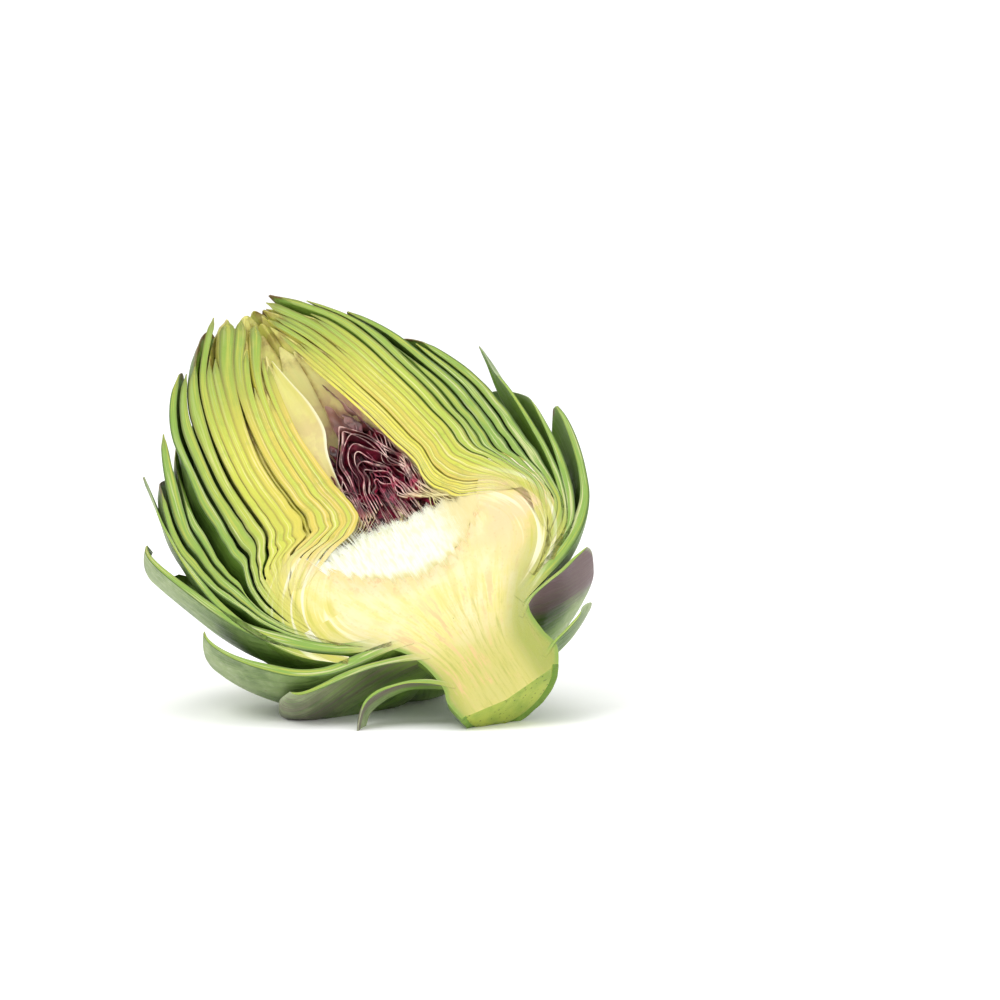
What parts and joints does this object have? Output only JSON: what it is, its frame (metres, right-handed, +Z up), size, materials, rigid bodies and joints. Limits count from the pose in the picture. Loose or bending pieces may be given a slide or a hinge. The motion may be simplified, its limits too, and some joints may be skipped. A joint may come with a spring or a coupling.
{
  "type": "artichoke half",
  "caption": "Globe artichoke cut in half from tip to stem, lying on its round back, with its layered bracts, fleshy heart and hairy choke open to the front.",
  "frame": {"origin": "on the surface that the half rests on, under the middle of its bounding box", "axes": "+Z up, +X to the right along the cut face as one looks at it, from the tip towards the stem, +Y behind the cut face"},
  "size_m": [0.1106, 0.078, 0.0985],
  "materials": {
    "pale_flesh": "moist cut plant flesh, stands in for the heart and its yellow bracts",
    "white_hair": "fine white bristles packed side by side",
    "purple_bract": "thin satin purple bracts",
    "green_bract": "leathery green bracts with a grey bloom, and the green skin of the stem"
  },
  "bodies": {
    "root": {"heart": "pale_flesh", "choke": "white_hair", "purple_bracts": "purple_bract", "outer_bracts": "green_bract"}
  },
  "joints": []
}
